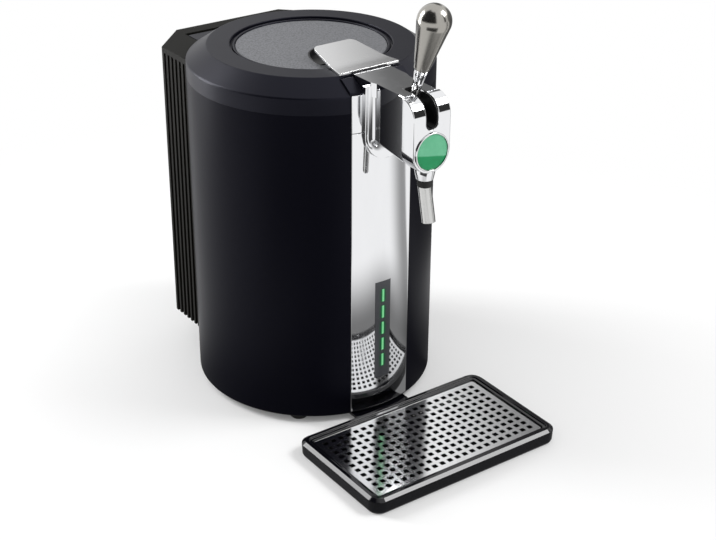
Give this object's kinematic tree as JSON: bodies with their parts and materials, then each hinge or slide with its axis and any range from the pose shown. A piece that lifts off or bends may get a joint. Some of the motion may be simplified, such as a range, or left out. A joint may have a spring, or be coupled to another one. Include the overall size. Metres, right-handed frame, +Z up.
{
  "type": "mini keg beer dispenser",
  "caption": "Cooled dispenser for a mini keg: round insulated body with a hinged lid, lever tap with tilted spout on a front arm, finned rear housing, drip tray with perforated plate",
  "frame": {"origin": "middle of the footprint's bounding box, on the surface that the dispenser stands on", "axes": "+Z up, -Y the side that the tap and the tray point to, +X to the right of someone who draws a beer"},
  "size_m": [0.266, 0.4654, 0.4859],
  "materials": {
    "matte_black": "matte, very dark blue-grey",
    "dark_grey": "matte dark grey",
    "gloss_black": "glossy black",
    "chrome": "polished",
    "satin_steel": "satin",
    "silver_grey": "silver-grey with a fine texture",
    "smoked": "smoked, glossy",
    "green_light": "lit green",
    "green_enamel": "glossy green, bare",
    "aluminium": "plain",
    "foam": "rigid foam",
    "rubber": "dark rubber",
    "board_green": "circuit board",
    "ceramic": "ceramic plates"
  },
  "bodies": {
    "base": {"outer_shell": "matte_black", "base_pan": "matte_black", "foot_front_left": "rubber", "foot_front_right": "rubber", "foot_back_left": "rubber", "foot_back_right": "rubber", "keg_chamber": "aluminium", "chamber_floor": "aluminium", "top_collar": "dark_grey", "arm_bridge": "gloss_black", "insulation": "foam", "display_board": "board_green", "main_board": "board_green", "power_supply": "dark_grey", "front_panel": "chrome", "display_window": "smoked", "level_light_1": "green_light", "level_light_2": "green_light", "level_light_3": "green_light", "level_light_4": "green_light", "level_light_5": "green_light", "cold_plate": "aluminium", "thermo_module": "ceramic", "heat_sink": "aluminium", "fan_frame": "gloss_black", "rear_housing": "matte_black", "hinge_pin": "satin_steel", "mains_inlet": "gloss_black", "switch_frame": "gloss_black", "tap_base": "chrome", "tap_frame": "chrome", "tap_arm": "chrome", "tap_head": "chrome", "slot_liner": "matte_black", "pivot_pin": "satin_steel", "badge_rim": "chrome", "badge_face": "green_enamel", "spout_neck": "chrome", "spout_collar": "rubber", "spout_tube": "chrome"},
    "lid": {"lid_ring": "matte_black", "lid_disc": "silver_grey", "finger_well": "matte_black", "lid_liner": "dark_grey", "lid_plug": "dark_grey", "lid_seal": "rubber", "lifting_plate": "satin_steel"},
    "lever": {"lever_stem": "satin_steel", "lever_neck": "chrome", "lever_grip": "satin_steel"},
    "valve": {"valve_plunger": "dark_grey"},
    "fan": {"fan_rotor": "gloss_black"},
    "switch": {"power_switch": "dark_grey"},
    "tray": {"drip_tray": "gloss_black"},
    "grid": {"drip_grid": "chrome"}
  },
  "joints": [
    {"name": "lid_hinge", "type": "hinge", "parent": "base", "child": "lid", "pos_m": [0, 0.2043, 0.364], "axis": [-1, 0, 0], "range_deg": [0, 95]},
    {"name": "lever_hinge", "type": "hinge", "parent": "base", "child": "lever", "pos_m": [0, -0.1199, 0.377], "axis": [1, 0, 0], "range_deg": [0, 40]},
    {"name": "valve_slide", "type": "slide", "parent": "base", "child": "valve", "axis": [0, 0, 1], "range_m": [0, 0.004]},
    {"name": "fan_spin", "type": "hinge", "parent": "base", "child": "fan", "pos_m": [0, 0.2089, 0.205], "axis": [0, 1, 0], "continuous": true},
    {"name": "switch_rock", "type": "hinge", "parent": "base", "child": "switch", "pos_m": [0.04, 0.227, 0.078], "axis": [1, 0, 0], "range_deg": [0, 16]},
    {"name": "tray_slide", "type": "slide", "parent": "base", "child": "tray", "axis": [0, -1, 0], "range_m": [0, 0.12]},
    {"name": "grid_lift", "type": "slide", "parent": "tray", "child": "grid", "axis": [0, 0, 1], "range_m": [0, 0.06]}
  ],
  "couplings": [
    {"joint": "valve_slide", "follows": "lever_hinge", "m_per_rad": 0.0057}
  ]
}
